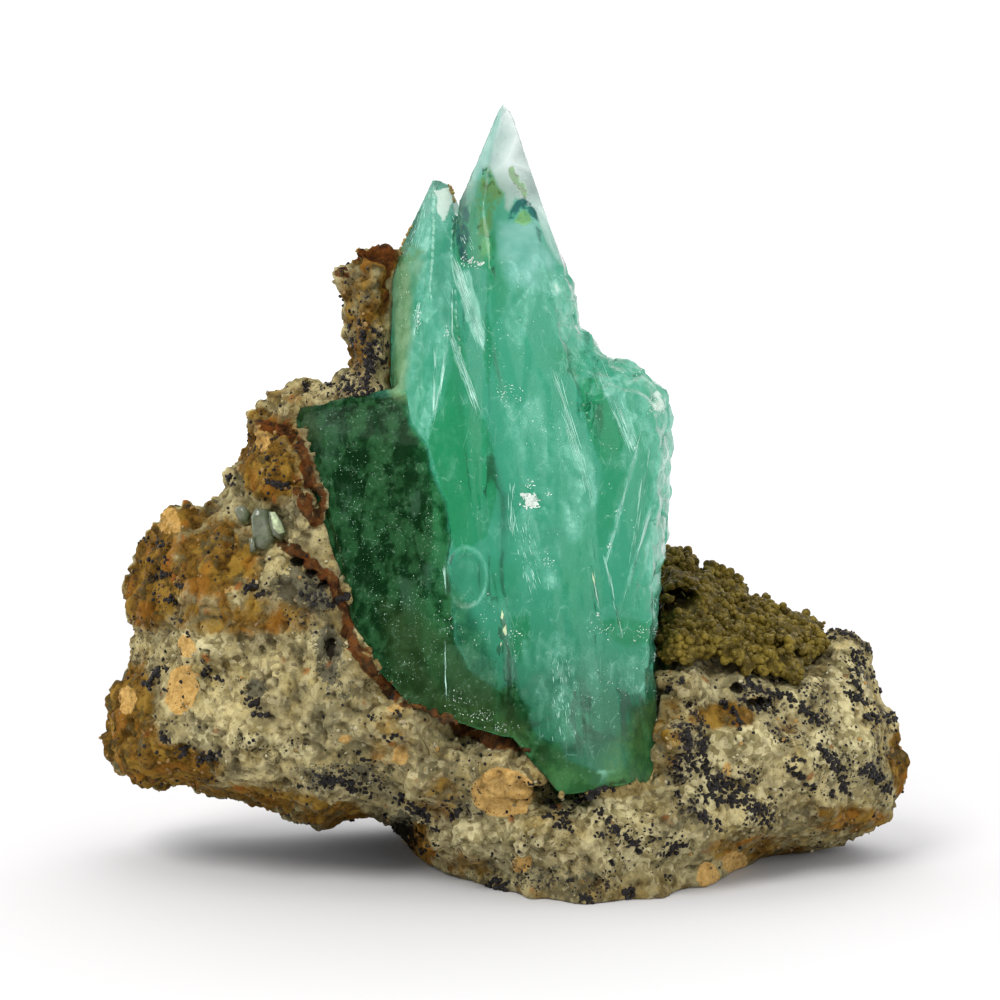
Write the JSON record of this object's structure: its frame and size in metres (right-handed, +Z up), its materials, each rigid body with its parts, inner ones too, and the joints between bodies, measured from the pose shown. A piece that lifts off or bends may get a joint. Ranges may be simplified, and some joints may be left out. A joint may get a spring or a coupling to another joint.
{
  "type": "phosphophyllite crystal specimen on matrix",
  "caption": "Blue-green phosphophyllite crystal group with a clear pointed tip, standing in a rough flat-bottomed lump of speckled host rock with a brown drusy crust.",
  "frame": {"origin": "middle of the specimen's bounding box, on the flat underside", "axes": "+Z up, +X to the right seen from the front of the crystal, +Y away from the viewer"},
  "size_m": [0.0526, 0.0266, 0.0485],
  "materials": {
    "host_rock": "rough, granular, cream-grey with ochre stains and black sulphide grains",
    "crystal": "clear to veiled blue-green, vitreous",
    "drusy_crust": "sugary olive-brown botryoidal crust, satin with fine sparkle",
    "vug_crystal": "grey-green, vitreous"
  },
  "bodies": {
    "root": {"matrix": "host_rock", "phosphophyllite_crystal": "crystal", "drusy_crust": "drusy_crust", "vug_crystal_left": "vug_crystal", "vug_crystal_right": "vug_crystal"}
  },
  "joints": []
}
